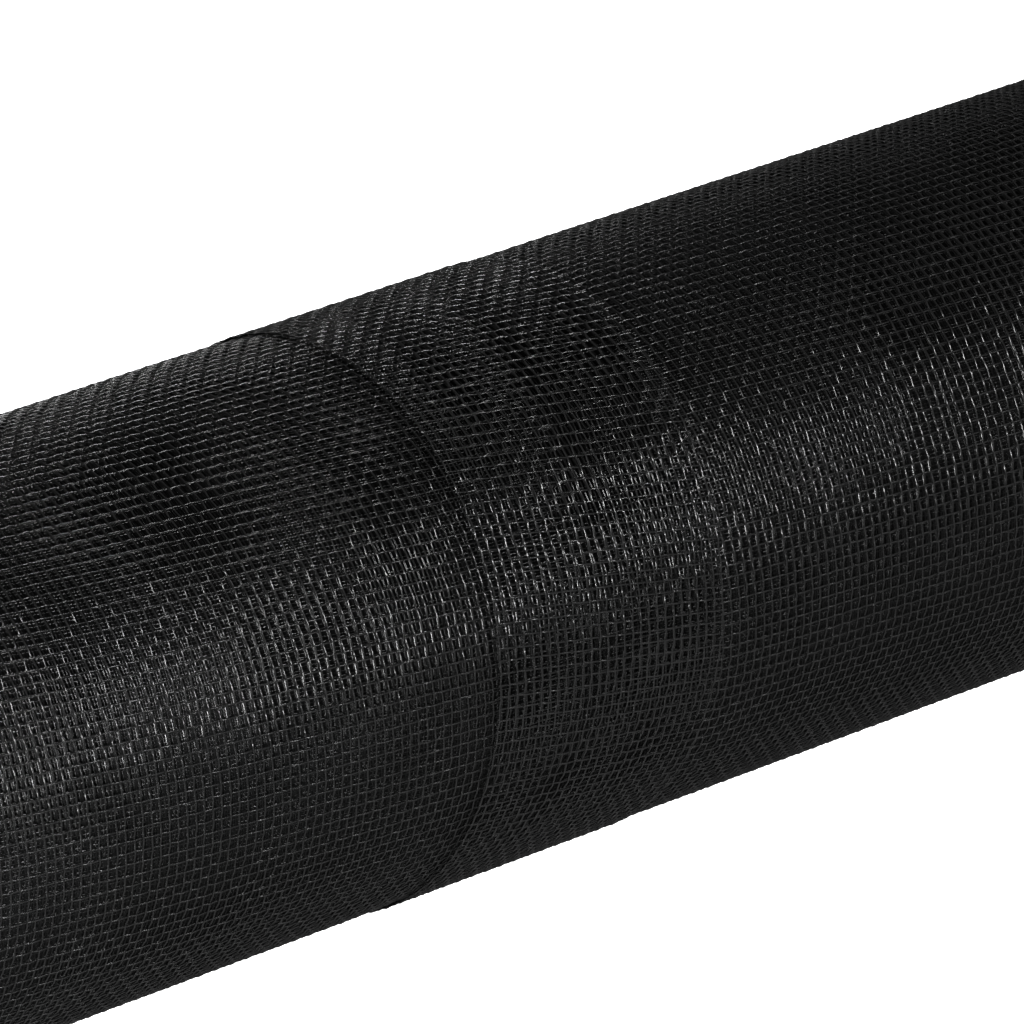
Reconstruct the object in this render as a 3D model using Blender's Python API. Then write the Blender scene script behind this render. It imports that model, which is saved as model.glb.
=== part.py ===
"""A short roll of black insect screen, held by a strip of the same screen tied round it.

Metres, +Z up. The roll lies along X on a small flat, and the origin is on that flat, under its middle.
Angles round the roll are measured at its axis: 0 is +Y, the back, 90 degrees is the top and 180 the front.
"""
import math

import bmesh
import bpy

INCH = 0.0254

# The woven sheet: 18 lengthways threads and 16 crossways threads to the inch
LENGTHWAYS_PITCH = INCH / 18
LAYER = 0.00045

# The wound roll
ROLL_LENGTH = 0.300
EYE_RADIUS = 0.003
TURNS = 78
OUTER_RADIUS = EYE_RADIUS + TURNS * LAYER
FLAT_WIDTH = 0.013
AXIS_HEIGHT = math.sqrt(OUTER_RADIUS ** 2 - (FLAT_WIDTH / 2) ** 2)

# The free edge of the outer turn, low on the back, and the strip's ramp over its step
FREE_EDGE_ANGLE = math.radians(-35)
EDGE_LEAN = math.radians(0.6)
RAMP_TURN = 12 / 360

# The tie: a strip 27 threads wide, drawn into the roll and a little slanted
TIE_WIDTH = 27 * LENGTHWAYS_PITCH
TIE_THICKNESS = 0.001
TIE_PROUD = 0.0002
TIE_SLANT = math.tan(math.radians(5.1))
CLEARANCE = 0.0003

# How finely the round surfaces are cut, and how near the ring's first and last outlines meet
STEPS_ROUND = 144
MERGE = 0.000001

BLACK_VINYL = (0.014, 0.014, 0.015, 1.0)


def clear_scene():
    for item in list(bpy.data.objects):
        bpy.data.objects.remove(item, do_unlink=True)


def vinyl(name, roughness):
    material = bpy.data.materials.new(name)
    material.use_nodes = True
    shader = material.node_tree.nodes["Principled BSDF"]
    shader.inputs["Base Color"].default_value = BLACK_VINYL
    shader.inputs["Roughness"].default_value = roughness
    shader.inputs["Metallic"].default_value = 0.0
    return material


def turn_steps():
    """Shares of one turn, from the free edge to the spot just under it."""
    whole = [step / STEPS_ROUND for step in range(STEPS_ROUND)]
    return whole + [1 - EDGE_LEAN / math.tau]


def wound_radius(turn):
    """The outer turn winds inwards by one layer."""
    return OUTER_RADIUS - LAYER * turn


def bridged_radius(turn):
    """The same turn where the strip presses it: the step at the free edge is a ramp."""
    if turn < 1 - RAMP_TURN:
        return wound_radius(turn)
    climb = (turn - (1 - RAMP_TURN)) / RAMP_TURN
    return wound_radius(1 - RAMP_TURN) + climb * LAYER * (1 - RAMP_TURN)


def outline(bm, turn_of, place):
    """The first closed outline round the axis; each point remembers its share of the turn."""
    points = []
    for turn in turn_steps():
        point = bm.verts.new(place(turn))
        point[turn_of] = turn
        points.append(point)
    return [bm.edges.new((a, b)) for a, b in zip(points, points[1:] + points[:1])]


def carry(bm, edges, turn_of, place):
    """Extrudes an outline and puts its new points where the next outline lies."""
    made = bmesh.ops.extrude_edge_only(bm, edges=edges)["geom"]
    for point in (item for item in made if isinstance(item, bmesh.types.BMVert)):
        point.co = place(point[turn_of])
    return [item for item in made if isinstance(item, bmesh.types.BMEdge)]


def level(x, radius_at, drop=0.0, lift=0.0, slant=0.0):
    """Where an outline's points lie: drop inside the outer turn, its flat lift above the floor."""
    def place(turn):
        angle = FREE_EDGE_ANGLE + math.tau * turn
        radius = radius_at(turn) - drop
        y = radius * math.cos(angle)
        z = max(AXIS_HEIGHT + radius * math.sin(angle), lift)
        return (x + slant * (z - AXIS_HEIGHT), y, z)
    return place


def skin(bm, levels):
    """Carries the first level's outline through all the others, and returns the first and last."""
    turn_of = bm.verts.layers.float.new("turn")
    first = outline(bm, turn_of, levels[0])
    last = first
    for place in levels[1:]:
        last = carry(bm, last, turn_of, place)
    return first, last


def finish(bm, name, material):
    bmesh.ops.recalc_face_normals(bm, faces=bm.faces)
    mesh = bpy.data.meshes.new(name)
    bm.to_mesh(mesh)
    bm.free()
    mesh.materials.append(material)
    mesh.shade_smooth()
    mesh.set_sharp_from_angle(angle=math.radians(30))
    piece = bpy.data.objects.new(name, mesh)
    bpy.context.scene.collection.objects.link(piece)
    return piece


def make_roll(material):
    """The wound screen as one solid, with the shallow slanted waist that the tie draws into it."""
    waist = TIE_WIDTH / 2 + CLEARANCE
    depth = TIE_THICKNESS - TIE_PROUD + CLEARANCE
    floor = TIE_THICKNESS + CLEARANCE
    end = ROLL_LENGTH / 2
    bm = bmesh.new()
    rims = skin(bm, [
        level(-end, wound_radius),
        level(-waist, wound_radius, slant=TIE_SLANT),
        level(-waist, bridged_radius, drop=depth, lift=floor, slant=TIE_SLANT),
        level(waist, bridged_radius, drop=depth, lift=floor, slant=TIE_SLANT),
        level(waist, wound_radius, slant=TIE_SLANT),
        level(end, wound_radius),
    ])
    for rim in rims:
        bmesh.ops.contextual_create(bm, geom=rim)
    return finish(bm, "screen_roll", material)


def make_tie(material):
    """The strip as one closed ring that lies in the waist, its outer face just proud of the roll."""
    side = TIE_WIDTH / 2
    under = TIE_THICKNESS - TIE_PROUD
    corners = [
        level(-side, bridged_radius, drop=-TIE_PROUD, slant=TIE_SLANT),
        level(side, bridged_radius, drop=-TIE_PROUD, slant=TIE_SLANT),
        level(side, bridged_radius, drop=under, lift=TIE_THICKNESS, slant=TIE_SLANT),
        level(-side, bridged_radius, drop=under, lift=TIE_THICKNESS, slant=TIE_SLANT),
    ]
    bm = bmesh.new()
    skin(bm, corners + corners[:1])
    bmesh.ops.remove_doubles(bm, verts=bm.verts, dist=MERGE)
    return finish(bm, "tie_strip", material)


def centre(pieces):
    """Moves the pieces so that the whole stands centred over the origin."""
    corners = [piece.matrix_world @ vert.co for piece in pieces for vert in piece.data.vertices]
    for axis in (0, 1):
        low = min(corner[axis] for corner in corners)
        high = max(corner[axis] for corner in corners)
        for piece in pieces:
            piece.location[axis] -= (low + high) / 2


clear_scene()
centre([make_roll(vinyl("screen vinyl", 0.42)), make_tie(vinyl("tie vinyl", 0.38))])
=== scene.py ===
"""The looks of a tied roll of black insect screen: its woven threads, wound ends and tie strip.

Metres, +Z up, the roll along X, as in the frame. Angles round the roll are measured at its axis: 0 is +Y,
the back, 90 degrees is the top and 180 the front. A flat sheet is (u, v, h): u along the roll, v round it
from the free edge of the outer turn inwards, and h above the middle of the sheet.
"""
import math

import bpy
import numpy as np
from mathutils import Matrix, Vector


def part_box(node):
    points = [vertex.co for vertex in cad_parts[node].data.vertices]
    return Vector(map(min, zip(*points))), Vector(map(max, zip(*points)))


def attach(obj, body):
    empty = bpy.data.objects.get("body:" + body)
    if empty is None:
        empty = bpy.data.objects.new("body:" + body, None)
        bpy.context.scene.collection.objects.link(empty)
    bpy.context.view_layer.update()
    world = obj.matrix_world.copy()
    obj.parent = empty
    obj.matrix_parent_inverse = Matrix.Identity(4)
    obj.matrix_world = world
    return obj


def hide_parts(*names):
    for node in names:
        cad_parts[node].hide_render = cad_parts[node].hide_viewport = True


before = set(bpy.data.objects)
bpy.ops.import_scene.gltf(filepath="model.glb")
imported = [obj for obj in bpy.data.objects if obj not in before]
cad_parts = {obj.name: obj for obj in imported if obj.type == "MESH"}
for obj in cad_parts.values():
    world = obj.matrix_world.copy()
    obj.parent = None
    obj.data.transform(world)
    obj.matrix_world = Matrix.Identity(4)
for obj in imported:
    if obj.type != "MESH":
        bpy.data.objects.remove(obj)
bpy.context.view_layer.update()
roll_low, roll_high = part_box("screen_roll")

INCH = 0.0254
UP = np.array([0.0, 0.0, 1.0])

# A small step on the sheet, to find which way it turns, and how near the seam a point counts as on it
NUDGE = 0.00001
SEAM_ROOM = 0.000001

# The sheet: 18 threads to the inch round the roll and 16 along it, of coated yarn
YARN = 0.00023
COLUMN_PITCH = INCH / 18
ROW_PITCH = INCH / 16
ROUND_CRIMP = 0.0001
ALONG_CRIMP = 0.000045
LAYER = 0.00045

# The wound roll, from the frame, and the shares of a turn from its free edge to its back and its front
ROLL_LENGTH = roll_high.x - roll_low.x
SHARE_AT_BACK = 35 / 360
SHARE_AT_FRONT = SHARE_AT_BACK + 1 / 2
STEP_ANGLE = -math.tau * SHARE_AT_BACK
TURNS = 78
OUTER_RADIUS = (roll_high.y - roll_low.y + LAYER * (SHARE_AT_BACK + SHARE_AT_FRONT)) / 2
AXIS_Y = roll_high.y - (OUTER_RADIUS - LAYER * SHARE_AT_BACK)
FLAT_WIDTH = 0.013
AXIS_Z = math.sqrt(OUTER_RADIUS ** 2 - (FLAT_WIDTH / 2) ** 2)
EYE_RADIUS = 0.003

# The turns below the two outermost: one body, cut into rings where it is drawn in beside the tie
BODY_TURN = 2
BODY_SIDES = 144
BODY_RINGS = (0.020, 0.026, 0.034, 0.045, 0.080, 0.115)
SHARP_EDGE = math.radians(40)
END_DEPTH = 0.001
EYE_DEPTH = 0.012

# The wound edge of each of them at the roll's ends, and how far it has crept in
END_STEPS = 48
CREEP = 0.00012
CREEP_REACH = 0.06

# Threads in the outer turns; the sheet's rows bow along the roll
CUT_END = 0.0004
COLUMNS = int((ROLL_LENGTH - 2 * CUT_END) / COLUMN_PITCH) + 1
FIRST_COLUMN = -(COLUMNS - 1) * COLUMN_PITCH / 2
PANELS = 4
PANEL_ROWS = 39
SECOND_TURN_ROWS = (PANELS * PANEL_ROWS, 308)
SECOND_TURN_STATIONS = 37
SECOND_TURN_OVERHANG = 0.28
ROW_LEAN = 0.0665
ROW_BOW = -0.39

# One wave of each thread, from the crossing that it passes over: place in pitches, height, tilt of its top
ROUND_WAVE = np.array([(0.2, 0.9, 0.4), (0.8, -0.9, 1), (1.5, 0, -1)])
ALONG_WAVE = np.array([(0, 1, 0), (0.62, -1, 1), (1.38, -1, -1)])
ROUND_TILT = 0.2
ALONG_TILT = 0.07
TIE_ALONG_TILT = 0.13
END_ROOM = 0.15

# A thread has three corners, one of them below, and shades as a round one, or flatter round the roll
CORNERS = np.radians([30, 150, 270])
ROUND_FACINGS = np.radians([66, 114, 270])
ALONG_FACINGS = np.radians([28, 152, 270])

# How unevenly the threads lie; the second turn has slipped a little below the outermost
WANDER = 0.00004
WANDER_REACH = 0.008
SLIP = 0.0003
SLIP_REACH = 0.03
JITTER = 0.000014
ROUND_TILT_JITTER = 0.08
ALONG_TILT_JITTER = 0.03

# The tie strip: 28 threads, a little slanted, drawn into the roll, its ends lapped low on the back
TIE_COLUMNS = 28
TIE_WIDTH = (TIE_COLUMNS - 1) * COLUMN_PITCH
TIE_ROWS = 164
TIE_START = math.radians(-15)
TIE_SLANT = math.tan(math.radians(5.1))
TIE_LEAN = math.tan(math.radians(10.2))
TIE_PROUD = 0.0002
TIE_OVERHANG = 0.1
RAMP_TURN = 12 / 360
LAP_ROWS = 2
SQUEEZE = 0.00025
SQUEEZE_REACH = 0.003
LEFT_STUBS = (0.0001, 0.0003)
RIGHT_STUBS = (0.0003, 0.0011)

# Black vinyl with a soft gloss, its mottle and its fine grain
VINYL_SPECULAR = 0.5
MOTTLE_SCALE = 90
GRAIN_SCALE = 900
GRAIN_HEIGHT = 0.00001

# The weave in the materials: how round its crests are, how far the lower turns' threads drift, in pitches,
# and the height, in half widths of a thread, from which a thread shows
CREST_ROUNDING = 0.98
DRIFT = 2.4
THREAD_EDGE = 0.05

rng = np.random.default_rng(7)


def wander(threads, length, amount=WANDER, reach=WANDER_REACH):
    """A function that reads each thread's sideways drift at places along it, 0 to length."""
    knots = int(length / reach) + 3
    values = rng.normal(0, amount, (threads, knots))

    def read(where):
        place = np.clip(where / length, 0, 1) * (knots - 2)
        low = np.floor(place).astype(int)
        share = place - low
        share = share * share * (3 - 2 * share)
        return values[:, low] * (1 - share) + values[:, low + 1] * share
    return read


def squeeze(x, z):
    """How far the tie draws the roll in, at and beside the strip."""
    off = np.abs(x - TIE_SLANT * (z - AXIS_Z)) - TIE_WIDTH / 2
    return SQUEEZE * np.exp(-np.clip(off, 0, None) / SQUEEZE_REACH)


def turn_at(v):
    """Turns wound between the free edge and a place on the sheet."""
    return (OUTER_RADIUS - np.sqrt(OUTER_RADIUS ** 2 - LAYER * v / math.pi)) / LAYER


def length_to(turn):
    """Length of sheet wound in the outer turns down to this one."""
    return math.tau * (OUTER_RADIUS * turn - LAYER * turn ** 2 / 2)


def wind(flat):
    """Points of the flat sheet (u, v, h) on the roll."""
    u, v, h = flat.T
    turn = turn_at(v)
    angle = STEP_ANGLE + math.tau * turn
    outside = OUTER_RADIUS - LAYER * turn
    depth = LAYER / 2 - h
    drawn = squeeze(u, AXIS_Z + outside * np.sin(angle))
    radius = outside - depth - drawn
    rest = LAYER * np.floor(turn) + depth + drawn * LAYER / SQUEEZE
    y = AXIS_Y + radius * np.cos(angle)
    z = np.maximum(AXIS_Z + radius * np.sin(angle), rest)
    return np.stack([u, y, z], 1)


def wind_askew(flat):
    """The same, with the rows lying askew and a little bowed."""
    u, v, h = flat.T
    return wind(np.stack([u, v + ROW_LEAN * u + ROW_BOW * u * u / 2, h], 1))


def wind_tie(flat):
    """Points of the flat strip on the roll: over the free edge's step on a ramp, and over its own start."""
    u, v, h = flat.T
    circle = math.tau * OUTER_RADIUS
    angle = TIE_START + v / OUTER_RADIUS
    share = np.mod((angle - STEP_ANGLE) / math.tau, 1)
    climb = np.clip((share - 1 + RAMP_TURN) / RAMP_TURN, 0, 1)
    outside = OUTER_RADIUS - LAYER * share * (1 - climb) + TIE_PROUD
    lap = np.clip((v - circle) / (LAP_ROWS * ROW_PITCH) + 1, 0, 1)
    depth = LAYER / 2 - h - LAYER * lap * lap * (3 - 2 * lap)
    radius = outside - depth
    y = AXIS_Y + radius * np.cos(angle)
    z = np.maximum(AXIS_Z + radius * np.sin(angle), depth)
    return np.stack([u + TIE_SLANT * (z - AXIS_Z), y, z], 1)


def crimp(first, last, crest, wave):
    """Places of a thread's points between two ends, in pitches, with its heights and tilts there."""
    periods = 2 * np.arange(math.floor((first - crest) / 2), math.ceil((last - crest) / 2) + 1)
    places = (crest + periods[:, None] + wave[:, 0]).ravel()
    inside = places[(places > first + END_ROOM) & (places < last - END_ROOM)]
    places = np.concatenate([[first], inside, [last]])
    height, tilt = (np.interp(places - crest, wave[:, 0], values, period=2) for values in wave.T[1:])
    return places, height, tilt


def round_the_thread(angles, side, up):
    """Directions square to a thread, at angles from its side."""
    return np.cos(angles)[:, None] * np.asarray(side) + np.sin(angles)[:, None] * up


def tubes(centres, side, along, tilt, facings):
    """Points, normals, side faces and end faces of threads round centre lines (threads, points, 3)."""
    threads, count = centres.shape[:2]
    reach = YARN / 2 / math.cos(CORNERS[0])
    points = centres[:, :, None] + reach * round_the_thread(CORNERS, side, UP)
    normals = round_the_thread(facings, side, UP + tilt[:, :, None, None] * np.asarray(along))

    ring = np.arange(3)
    first = (np.arange(threads)[:, None, None] * count + np.arange(count - 1)[:, None]) * 3
    near, far = first + ring, first + (ring + 1) % 3
    sides = np.stack([near, far, far + 3, near + 3], -1).reshape(-1, 4)
    start = np.arange(threads)[:, None] * count * 3
    caps = np.concatenate([start + ring[::-1], start + (count - 1) * 3 + ring])
    return points.reshape(-1, 3), normals.reshape(-1, 3), sides, caps


def jitter(shape, amount=JITTER):
    """Small random offsets, none at the ends, where the next panel's threads meet these."""
    values = rng.normal(0, amount, shape)
    values[:, [0, -1]] = 0
    return values


def round_threads(columns, first, last, drift):
    """Threads round the roll, given by their numbers, between two rows."""
    made = []
    for parity in (0, 1):
        chosen = columns[columns % 2 == parity]
        places, height, tilt = crimp(first, last, parity + 0.5, ROUND_WAVE)
        shape = (len(chosen), len(places))
        v = np.broadcast_to(places * ROW_PITCH, shape)
        u = FIRST_COLUMN + chosen[:, None] * COLUMN_PITCH + drift(places * ROW_PITCH)[chosen]
        h = ROUND_CRIMP * height + jitter(shape)
        lines = np.stack([u + jitter(shape), v, h], -1)
        lifts = ROUND_TILT * tilt + jitter(shape, ROUND_TILT_JITTER)
        made.append((*tubes(lines, (1, 0, 0), (0, 1, 0), lifts, ROUND_FACINGS), 1.0))
    return made


def along_threads(rows, first, last, drift, slope=ALONG_TILT, ends=None):
    """Threads along the roll, given by their numbers, between two columns, and longer by their ends."""
    made = []
    for parity in (0, 1):
        chosen = rows[rows % 2 == parity]
        places, height, tilt = crimp(first, last, 1.0 - parity, ALONG_WAVE)
        shape = (len(chosen), len(places))
        u = np.tile(places * COLUMN_PITCH, (len(chosen), 1))
        if ends is not None:
            u[:, 0] -= ends[0][chosen]
            u[:, -1] += ends[1][chosen]
        v = (chosen[:, None] + 0.5) * ROW_PITCH + drift(places * COLUMN_PITCH)[chosen]
        h = ALONG_CRIMP * height + jitter(shape)
        lines = np.stack([FIRST_COLUMN + u, v + jitter(shape), h], -1)
        lifts = slope * tilt + jitter(shape, ALONG_TILT_JITTER)
        made.append((*tubes(lines, (0, -1, 0), (1, 0, 0), lifts, ALONG_FACINGS), -1.0))
    return made


def turned(place, flat, directions):
    """Normals in the flat as they turn where the sheet is wound and askew; winding mirrors it."""
    points = place(flat)
    u, v, h = (place(flat + step) - points for step in NUDGE * np.eye(3))
    parts = directions[:, :, None] * np.stack([np.cross(h, v), np.cross(u, h), np.cross(v, u)], 1)
    normals = parts.sum(1)
    return normals / np.linalg.norm(normals, axis=1)[:, None]


def thread_piece(name, groups, place):
    """One object from groups of tubes in the flat; place puts flat points on the roll."""
    flat, directions, sides, caps, kinds, count = [], [], [], [], [], 0
    for points, normals, group_sides, group_caps, kind in groups:
        flat.append(points)
        directions.append(normals)
        sides.append(group_sides + count)
        caps.append(group_caps + count)
        kinds.append(np.full(len(points), kind))
        count += len(points)
    flat, directions = np.concatenate(flat), np.concatenate(directions)
    sides, caps, kinds = np.concatenate(sides), np.concatenate(caps), np.concatenate(kinds)
    points = place(flat)
    normals = turned(place, flat, directions)

    mesh = bpy.data.meshes.new(name)
    loops = np.concatenate([sides.ravel(), caps.ravel()]).astype(np.int32)
    starts = np.concatenate([np.arange(len(sides)) * 4, len(sides) * 4 + np.arange(len(caps)) * 3])
    mesh.vertices.add(len(points))
    mesh.vertices.foreach_set("co", points.astype(np.float32).ravel())
    mesh.loops.add(len(loops))
    mesh.loops.foreach_set("vertex_index", loops)
    mesh.polygons.add(len(starts))
    mesh.polygons.foreach_set("loop_start", starts.astype(np.int32))
    mesh.update(calc_edges=True)
    mesh.shade_smooth()
    mesh.normals_split_custom_set_from_vertices(normals.tolist())
    keep_flat_place(mesh, np.column_stack([flat[:, :2], kinds]), "POINT")
    piece = bpy.data.objects.new(name, mesh)
    bpy.context.scene.collection.objects.link(piece)
    return piece


def keep_flat_place(mesh, flat, domain):
    """Each point's place in the weave stays on the mesh: u, v, and 1 round the roll or -1 along it."""
    place = mesh.attributes.new("flat_place", "FLOAT_VECTOR", domain)
    place.data.foreach_set("vector", np.asarray(flat, np.float32).ravel())


def dress(piece, material):
    piece.data.materials.append(material)
    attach(piece, "root")
    return piece


def outer_turn(material):
    """The outermost turn in four panels of whole rows."""
    rows = PANELS * PANEL_ROWS
    column_drift = wander(COLUMNS, rows * ROW_PITCH)
    row_drift = wander(rows, ROLL_LENGTH)
    overhang = CUT_END / COLUMN_PITCH
    for index in range(PANELS):
        first = index * PANEL_ROWS
        last = first + PANEL_ROWS
        groups = round_threads(np.arange(COLUMNS), first, last, column_drift)
        groups += along_threads(np.arange(first, last), -overhang, COLUMNS - 1 + overhang, row_drift)
        panel = dress(thread_piece(f"outer_turn_{index + 1}", groups, wind_askew), material)


def second_turn(material):
    """The turn below it, whose threads run straight and drift together; their crimp is in the material."""
    first, last = SECOND_TURN_ROWS
    length = (last - first) * ROW_PITCH
    places = np.linspace(first, last, (last - first) // 2 + 1)
    below = (places - first) * ROW_PITCH
    columns = np.arange(COLUMNS)[:, None]
    drift = wander(COLUMNS, length)(below) + wander(1, length, SLIP, SLIP_REACH)(below)
    u = FIRST_COLUMN + columns * COLUMN_PITCH + drift
    v = np.broadcast_to(places * ROW_PITCH, u.shape)
    round_lines = np.stack([u, v, np.full(u.shape, ROUND_CRIMP / 2)], -1)

    overhang = SECOND_TURN_OVERHANG
    places = np.linspace(-overhang, COLUMNS - 1 + overhang, SECOND_TURN_STATIONS)
    across = places * COLUMN_PITCH
    rows = np.arange(first, last)[:, None]
    drift = wander(last - first, ROLL_LENGTH)(across) + wander(1, ROLL_LENGTH, SLIP, SLIP_REACH)(across)
    v = (rows + 0.5) * ROW_PITCH + drift
    u = np.broadcast_to(FIRST_COLUMN + across, v.shape)
    along_lines = np.stack([u, v, np.full(v.shape, -ALONG_CRIMP)], -1)

    level = np.zeros(round_lines.shape[:2])
    groups = [(*tubes(round_lines, (1, 0, 0), (0, 1, 0), level, ROUND_FACINGS), 1.0)]
    level = np.zeros(along_lines.shape[:2])
    groups.append((*tubes(along_lines, (0, -1, 0), (1, 0, 0), level, ALONG_FACINGS), -1.0))
    turn = dress(thread_piece("second_turn", groups, wind_askew), material)


def tie_strip(material):
    """The strip tied round the roll, cut a little raggedly on its right side."""
    columns = np.arange(TIE_COLUMNS)
    rows = np.arange(TIE_ROWS)
    middle = FIRST_COLUMN + TIE_WIDTH / 2
    column_drift = wander(TIE_COLUMNS, TIE_ROWS * ROW_PITCH)
    row_drift = wander(TIE_ROWS, TIE_WIDTH)
    ends = (rng.uniform(*LEFT_STUBS, TIE_ROWS), rng.uniform(*RIGHT_STUBS, TIE_ROWS))
    groups = round_threads(columns, 0, TIE_ROWS, column_drift)
    last = TIE_COLUMNS - 1 + TIE_OVERHANG
    groups += along_threads(rows, -TIE_OVERHANG, last, row_drift, TIE_ALONG_TILT, ends)

    def place(flat):
        u, v, h = flat.T
        u = u - middle
        return wind_tie(np.stack([u, v + TIE_LEAN * u, h], 1))
    strip = dress(thread_piece("tie_threads", groups, place), material)
    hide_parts("tie_strip")


def share_of_turn(point):
    """How far round the roll a point lies, from the free edge, as a share of one turn."""
    angle = math.atan2(point.z - AXIS_Z, point.y - AXIS_Y)
    return ((angle - STEP_ANGLE) / math.tau + SEAM_ROOM) % 1


def on_skin(point):
    """Whether a point of the body is on its round skin, and not on an end or in the eye."""
    return math.hypot(point.y - AXIS_Y, point.z - AXIS_Z) > 0.9 * OUTER_RADIUS


def bored_cylinder(name):
    """A plain cylinder along the axis, cut into rings, with the open eye in each end."""
    axis = (0, AXIS_Y, AXIS_Z)
    half = ROLL_LENGTH / 2 - END_DEPTH
    bpy.ops.object.select_all(action="DESELECT")
    bpy.ops.mesh.primitive_cylinder_add(vertices=BODY_SIDES, radius=OUTER_RADIUS, depth=2 * half,
                                        end_fill_type="NOTHING", location=axis,
                                        rotation=(0, math.pi / 2, 0))
    body = bpy.context.object
    body.name = body.data.name = name
    bpy.ops.object.transform_apply(location=True, rotation=True, scale=True)
    bpy.ops.object.mode_set(mode="EDIT")
    for x in BODY_RINGS:
        for side in (-1, 1):
            bpy.ops.mesh.select_all(action="SELECT")
            bpy.ops.mesh.bisect(plane_co=(side * x, 0, 0), plane_no=(1, 0, 0))
    bpy.ops.mesh.select_all(action="DESELECT")
    bpy.ops.mesh.select_non_manifold()
    bpy.ops.mesh.extrude_region_move()
    narrow = EYE_RADIUS / OUTER_RADIUS
    bpy.ops.transform.resize(value=(1, narrow, narrow), center_override=axis)
    bpy.ops.mesh.extrude_region_move()
    bpy.ops.transform.resize(value=(1 - EYE_DEPTH / half, 1, 1), center_override=axis)
    bpy.ops.mesh.fill()
    bpy.ops.mesh.select_all(action="SELECT")
    bpy.ops.mesh.normals_make_consistent(inside=False)
    bpy.ops.object.mode_set(mode="OBJECT")
    return body


def under_turns(material, end_material):
    """All the turns below as one body, its skin on the place of the third turn."""
    body = bored_cylinder("under_turns")
    mesh = body.data
    weave = []
    for face in mesh.polygons:
        middle = share_of_turn(face.center)
        for point in (mesh.vertices[index].co for index in face.vertices):
            beside = (share_of_turn(point) - middle + 1 / 2) % 1 - 1 / 2
            weave.append((point.x, length_to(BODY_TURN + middle + beside), 0))
    for vertex in mesh.vertices:
        if on_skin(vertex.co):
            v = length_to(BODY_TURN + share_of_turn(vertex.co))
            vertex.co = wind(np.array([[vertex.co.x, v, LAYER / 4]]))[0]
    mesh.update()
    keep_flat_place(mesh, weave, "CORNER")
    mesh.shade_smooth()
    mesh.set_sharp_from_angle(angle=SHARP_EDGE)
    mesh.materials.append(material)
    mesh.materials.append(end_material)
    for face in mesh.polygons:
        face.material_index = 0 if on_skin(face.center) else 1
    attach(body, "root")
    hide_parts("screen_roll")


def cut_ends(places, reaches, side):
    """Points, normals and faces of the short cut ends that stand out from places in the flat."""
    across = round_the_thread(CORNERS, (0, -side, 0), UP)
    points = np.repeat(places[:, None], 4, 1)
    points[:, :3] += across * YARN / 2
    points[:, 3, 0] += side * reaches
    normals = np.tile(np.vstack([across, [side, 0, 0]]), (len(places), 1))
    first = np.arange(len(places))[:, None, None] * 4
    faces = first + np.array([[2, 1, 0], [0, 1, 3], [1, 2, 3], [2, 0, 3]])
    return points.reshape(-1, 3), normals, np.empty((0, 4), int), faces.reshape(-1, 3)


def wound_end(name, side, material):
    """One end of the turns below: their last thread, wound in to the eye, and the cut ends beside it."""
    turns = np.linspace(BODY_TURN, TURNS, (TURNS - BODY_TURN) * END_STEPS + 1)
    v = length_to(turns)
    creep = wander(1, v[-1], CREEP, CREEP_REACH)

    def edge(v):
        return side * (-FIRST_COLUMN - np.abs(creep(v)[0]))
    line = np.stack([edge(v), v, np.zeros(len(v))], -1)[None]
    spiral = tubes(line, (1, 0, 0), (0, 1, 0), np.zeros((1, len(v))), ROUND_FACINGS)
    v = np.arange(math.ceil(v[0] / ROW_PITCH), int(v[-1] / ROW_PITCH)) * ROW_PITCH
    places = np.stack([edge(v), v + rng.normal(0, WANDER, len(v)), np.zeros(len(v))], -1)
    ends = cut_ends(places, rng.uniform(CUT_END / 3, CUT_END, len(v)), side)
    dress(thread_piece(name, [(*spiral, 1.0), (*ends, -1.0)], wind), material)


class Socket:
    """A node's output. Arithmetic on it adds Math nodes."""

    def __init__(self, finish, output):
        self.finish = finish
        self.output = output

    def math(self, operation, *others):
        values = dict(enumerate((self, *others)))
        return self.finish.node("ShaderNodeMath", {"operation": operation}, values)

    def __add__(self, other):
        return self.math("ADD", other)

    def __sub__(self, other):
        return self.math("SUBTRACT", other)

    def __mul__(self, other):
        return self.math("MULTIPLY", other)

    def __truediv__(self, other):
        return self.math("DIVIDE", other)

    def __rsub__(self, other):
        return -1 * self + other

    __radd__ = __add__
    __rmul__ = __mul__

    def __getitem__(self, name):
        return Socket(self.finish, self.output.node.outputs[name])


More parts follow.
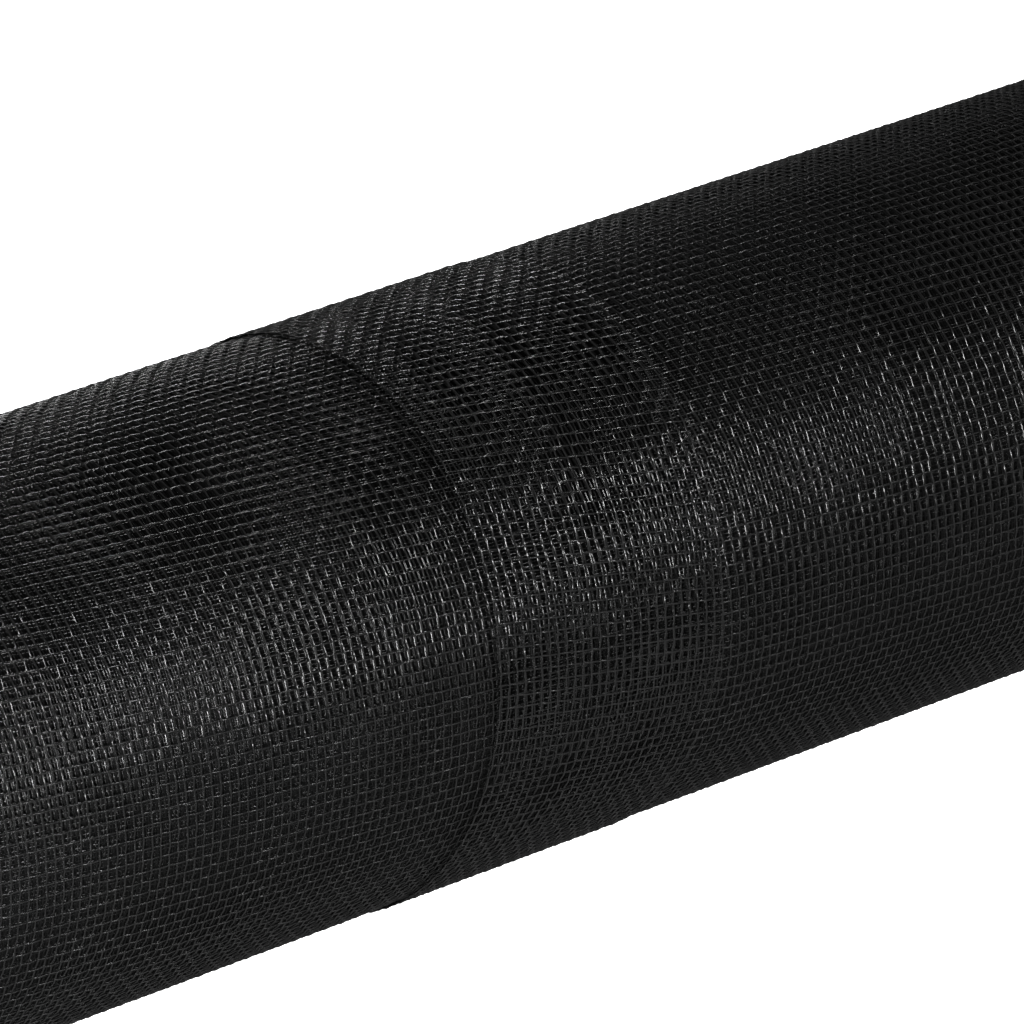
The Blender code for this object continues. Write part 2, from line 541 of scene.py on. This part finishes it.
class Finish:
    """A material with one Principled shader, a grey of its own and the nodes that vary it."""

    def __init__(self, name, grey, roughness, specular, glow=0.0):
        self.material = bpy.data.materials.new(name)
        self.material.use_nodes = True
        self.tree = self.material.node_tree
        self.shader = self.tree.nodes["Principled BSDF"]
        constants = {"Base Color": (grey, grey, grey, 1), "Roughness": roughness,
                     "Specular IOR Level": specular,
                     "Emission Color": (1, 1, 1, 1), "Emission Strength": glow}
        for socket, value in constants.items():
            self.shader.inputs[socket].default_value = value

    def node(self, kind, settings=None, values=None):
        """The first output of a new node. Settings come first, then the values or links of its sockets."""
        made = self.tree.nodes.new(kind)
        for name, value in (settings or {}).items():
            setattr(made, name, value)
        for name, value in (values or {}).items():
            self.feed(made, name, value)
        return Socket(self, made.outputs[0])

    def feed(self, node, name, value):
        if isinstance(value, Socket):
            self.tree.links.new(value.output, node.inputs[name])
        else:
            node.inputs[name].default_value = value

    def noise(self, scale, detail):
        place = self.node("ShaderNodeTexCoord")["Object"]
        return self.node("ShaderNodeTexNoise", values={"Vector": place, "Scale": scale, "Detail": detail})

    def greys(self, share, dark, light):
        """A grey between two."""
        ends = {"A": (dark, dark, dark, 1), "B": (light, light, light, 1)}
        return self.node("ShaderNodeMix", {"data_type": "RGBA"}, {"Factor": share, **ends})["Result"]

    def bump(self, height):
        return self.node("ShaderNodeBump", values={"Height": height, "Distance": 1.0, "Strength": 1.0})

    def weave(self):
        """The place in the weave, in threads: its column, its row, and 1 round the roll or -1 along it."""
        flat = self.node("ShaderNodeAttribute", {"attribute_name": "flat_place"})["Vector"]
        parts = self.node("ShaderNodeSeparateXYZ", values={0: flat})
        return (parts["X"] - FIRST_COLUMN) / COLUMN_PITCH, parts["Y"] / ROW_PITCH - 0.5, parts["Z"]


def crossing(column, row):
    """1 where a thread round the roll lies over one along it, -1 where under, and straight between."""
    wave = (column * math.pi).math("COSINE") * (row * math.pi).math("COSINE")
    return (wave * CREST_ROUNDING).math("ARCSINE") * (2 / math.pi)


def vinyl(name, grey, roughness, crimp_in_bump=False):
    """Black vinyl on yarn: a little mottled, with fine unevenness along each thread."""
    finish = Finish(name, grey, roughness, VINYL_SPECULAR)
    mottle = finish.noise(MOTTLE_SCALE, 3)
    grain = finish.noise(GRAIN_SCALE, 2)
    colour = finish.greys(mottle * 0.6 + grain * 0.4, grey * 0.6, grey * 1.5)
    finish.feed(finish.shader, "Base Color", colour)
    dullness = (mottle * 0.1 + grain * 0.9) * (roughness * 0.5) + roughness * 0.7
    finish.feed(finish.shader, "Roughness", dullness)
    height = grain * GRAIN_HEIGHT
    if crimp_in_bump:
        column, row, kind = finish.weave()
        round_rise = ROUND_TILT * ROW_PITCH / 2
        along_rise = ALONG_TILT * COLUMN_PITCH / 2
        rise = kind * (round_rise + along_rise) / 2 + (round_rise - along_rise) / 2
        height = height + rise * crossing(column, row) + finish.noise(60, 1) * 0.0006
    finish.feed(finish.shader, "Normal", finish.bump(height))
    return finish.material


def back_of_thread(place, pitch):
    """How high a thread's round back stands, as a share of its half width, and 0 between threads."""
    off = (place - place.math("ROUND")) * (2 * pitch / YARN)
    return (1 - off * off).math("MAXIMUM", 0).math("SQRT")


def net(column, row):
    """How high the threads of one turn stand, in half widths of a thread, and 0 in its holes."""
    return back_of_thread(column, COLUMN_PITCH).math("MAXIMUM", back_of_thread(row, ROW_PITCH))


def deep_weave(name, grey, roughness):
    """The turns seen through the two outermost: threads of the next two, dim ones below and dark gaps,
    painted darker than the outer yarn as shade deep in the roll.
    """
    finish = Finish(name, grey, roughness, VINYL_SPECULAR)
    column, row, _ = finish.weave()
    u = column * COLUMN_PITCH + FIRST_COLUMN
    row = row - (u * u * (ROW_BOW / 2) + u * ROW_LEAN) / ROW_PITCH + finish.noise(18, 1) * DRIFT
    column = column + finish.noise(25, 1) * DRIFT
    backs = net(column, row).math("MAXIMUM", net(column * 1.006 + 0.38, row * 1.005 + 0.43))
    crimp = crossing(column, row) * (YARN / 3) + finish.noise(500, 2) * 0.0001
    finish.feed(finish.shader, "Normal", finish.bump(backs * (YARN / 2) + crimp))
    thread = Socket(finish, finish.shader.outputs[0])
    # Painted shade: between the threads, dim threads further down on a dark, dull ground
    dim = net(column * 0.993 + 0.7, row * 0.994 + 0.2).math("GREATER_THAN", THREAD_EDGE)
    colour = finish.greys(dim, grey * 0.8, grey * 1.6)
    dull = {"Base Color": colour, "Roughness": 1.0, "Specular IOR Level": 0.0}
    gap = finish.node("ShaderNodeBsdfPrincipled", values=dull)
    shows = backs.math("GREATER_THAN", THREAD_EDGE)
    both = finish.node("ShaderNodeMixShader", values={0: shows, 1: gap, 2: thread})
    finish.feed(finish.tree.nodes["Material Output"], "Surface", both)
    return finish.material


# The turns below are given a darker grey than the outermost turn's yarn: painted shade for light that
# reaches less far in
under_turns(deep_weave("deep turns", 0.0045, 0.26), Finish("wound end", 0.0015, 0.8, 0.1).material)
outer_turn(vinyl("screen yarn", 0.008, 0.25))
# The second turn's yarn is given half the outermost's grey: painted shade from the turn that lies over it
second_turn(vinyl("second turn yarn", 0.004, 0.25, crimp_in_bump=True))
tie_strip(vinyl("tie yarn", 0.010, 0.21))
wound_end("wound_end_left", -1, vinyl("left end yarn", 0.014, 0.28))
wound_end("wound_end_right", 1, vinyl("right end yarn", 0.014, 0.28))

# A wide pale floor, which gives light of its own and stays out of the vinyl's gloss
FLOOR_SIZE = 6
FLOOR_GLOW = 2.4
bpy.ops.mesh.primitive_plane_add(size=FLOOR_SIZE, location=(0, 0, 0))
floor = bpy.context.object
floor.name = "floor"
floor.data.materials.append(Finish("floor", 0.15, 0.6, 0.0, glow=FLOOR_GLOW).material)
floor.visible_glossy = False

# The camera stands as the photograph's does, far off with a long lens; distances are in radii of the roll
CAMERA_AZIMUTH = math.radians(-41.85)
CAMERA_ELEVATION = math.radians(22.73)
SEEN_RADIUS = 0.03795
CAMERA_DISTANCE = 39.04 * SEEN_RADIUS
TARGET_ALONG = 0.446 * SEEN_RADIUS
TARGET_ABOVE = 0.150 * SEEN_RADIUS
FOCAL_PIXELS = 11382
PHOTO_PIXELS = 1024
SENSOR_WIDTH = 36
back = Vector((math.sin(CAMERA_AZIMUTH) * math.cos(CAMERA_ELEVATION),
               -math.cos(CAMERA_AZIMUTH) * math.cos(CAMERA_ELEVATION),
               math.sin(CAMERA_ELEVATION)))
target = Vector((TARGET_ALONG, AXIS_Y, AXIS_Z + TARGET_ABOVE))
camera_data = bpy.data.cameras.new("camera")
camera_data.sensor_width = SENSOR_WIDTH
camera_data.lens = SENSOR_WIDTH * FOCAL_PIXELS / PHOTO_PIXELS
camera = bpy.data.objects.new("camera", camera_data)
camera.location = target + back * CAMERA_DISTANCE
camera.rotation_euler = (-back).to_track_quat("-Z", "Y").to_euler()
bpy.context.scene.collection.objects.link(camera)
bpy.context.scene.camera = camera

WORLD_STRENGTH = 0.1
world = bpy.data.worlds.new("studio")
world.use_nodes = True
world.node_tree.nodes["Background"].inputs["Color"].default_value = (1, 1, 1, 1)
world.node_tree.nodes["Background"].inputs["Strength"].default_value = WORLD_STRENGTH
bpy.context.scene.world = world


def softbox(name, direction, distance, size, power, aim):
    """A rectangular lamp, size metres wide and high, that stands off its aim and faces it."""
    light = bpy.data.lights.new(name, "AREA")
    light.shape = "RECTANGLE"
    light.size, light.size_y = size
    light.energy = power
    lamp = bpy.data.objects.new(name, light)
    way = Vector(direction).normalized()
    lamp.location = aim + way * distance
    lamp.rotation_euler = way.to_track_quat("Z", "Y").to_euler()
    bpy.context.scene.collection.objects.link(lamp)
    return lamp


roll_middle = Vector((0, 0, AXIS_Z))
softbox("front right lamp", (0.41, -0.81, 0.425), 0.8, (0.16, 0.055), 4.6, roll_middle)
softbox("left fill", (-0.24, -0.20, 0.015), 0.31, (0.1, 0.08), 0.6, roll_middle)
softbox("back lamp", (-0.6, 0.79, 0.2), 0.7, (0.25, 0.15), 4.0, roll_middle)

bpy.context.scene.view_settings.view_transform = "Standard"
